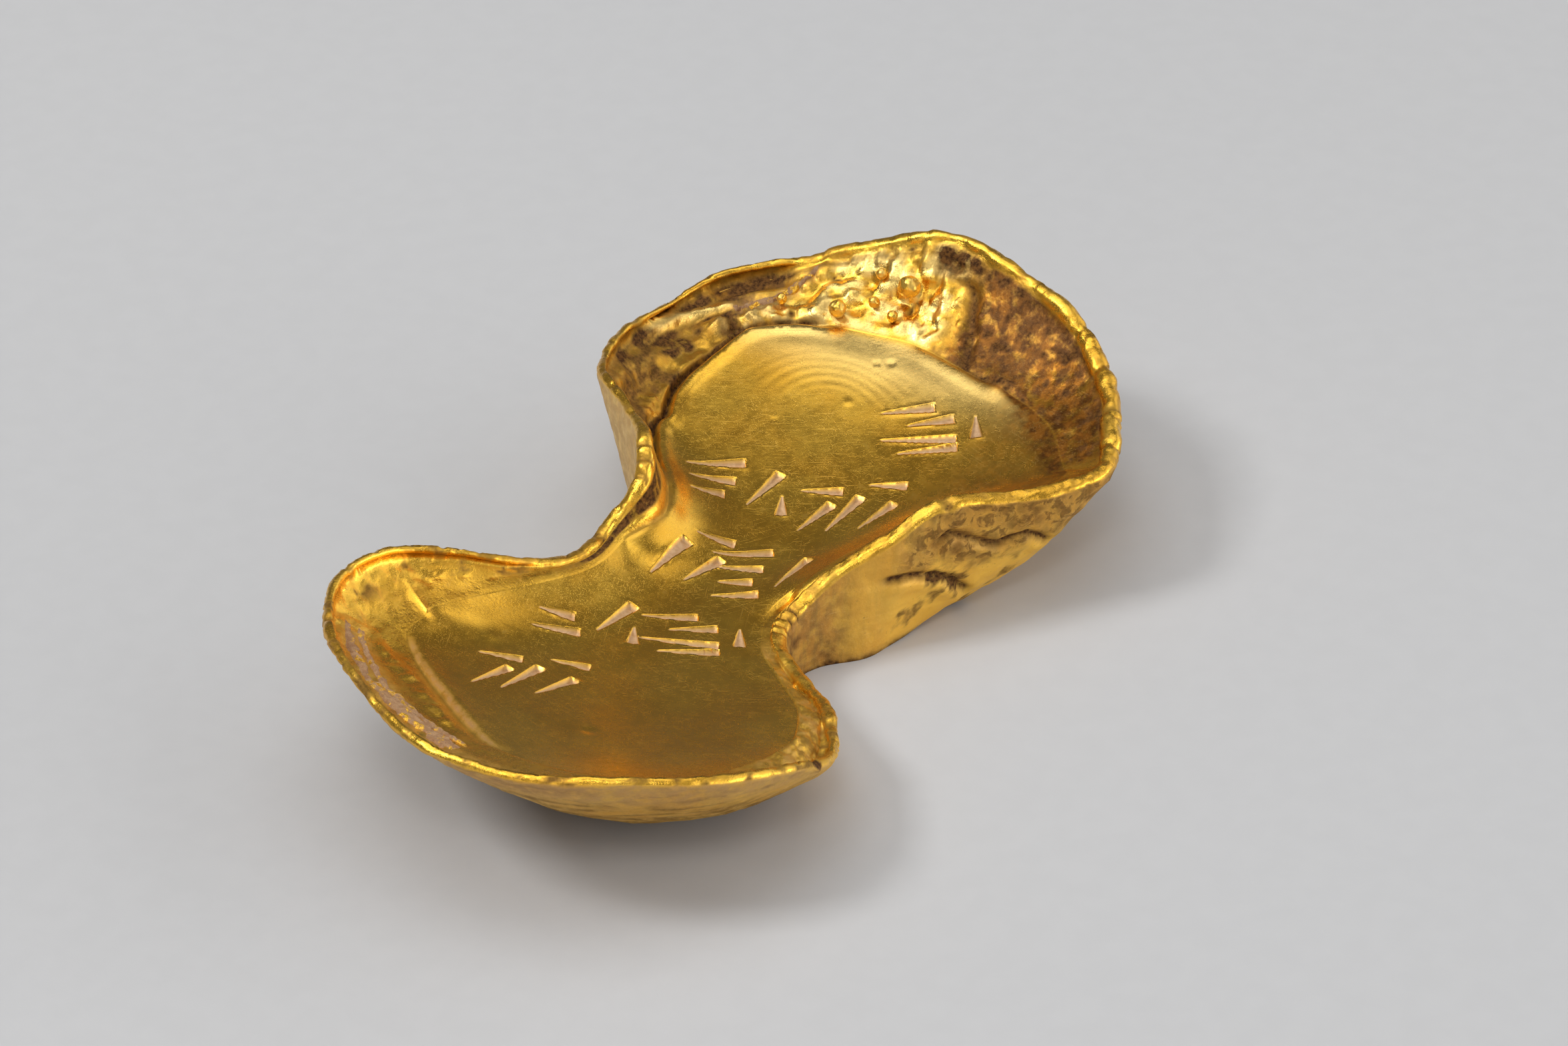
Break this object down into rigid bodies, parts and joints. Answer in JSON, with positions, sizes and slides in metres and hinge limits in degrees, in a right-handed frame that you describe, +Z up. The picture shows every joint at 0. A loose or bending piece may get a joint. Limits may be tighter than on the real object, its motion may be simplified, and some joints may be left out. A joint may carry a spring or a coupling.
{
  "type": "sycee ingot",
  "caption": "Waisted saddle-shaped gold ingot with two dished lobes, a thin uneven rim, a small flat foot and wedge cuts in its floor",
  "frame": {"origin": "on the table under the middle of the whole outline", "axes": "X along the ingot towards its higher lobe, Y across it, Z up from the table"},
  "size_m": [0.0954, 0.0514, 0.0201],
  "materials": {
    "gold": "cast gold, softly polished, with brown residue in its hollows",
    "drop_gold": "bright cast gold",
    "deposit": "matt pinkish mineral deposit"
  },
  "bodies": {
    "root": {"cast_body": "gold", "gutter_crust": "deposit", "wall_crust": "deposit", "prill_1": "drop_gold", "prill_2": "drop_gold", "prill_3": "drop_gold", "prill_4": "drop_gold", "prill_5": "drop_gold", "prill_6": "drop_gold"}
  },
  "joints": []
}
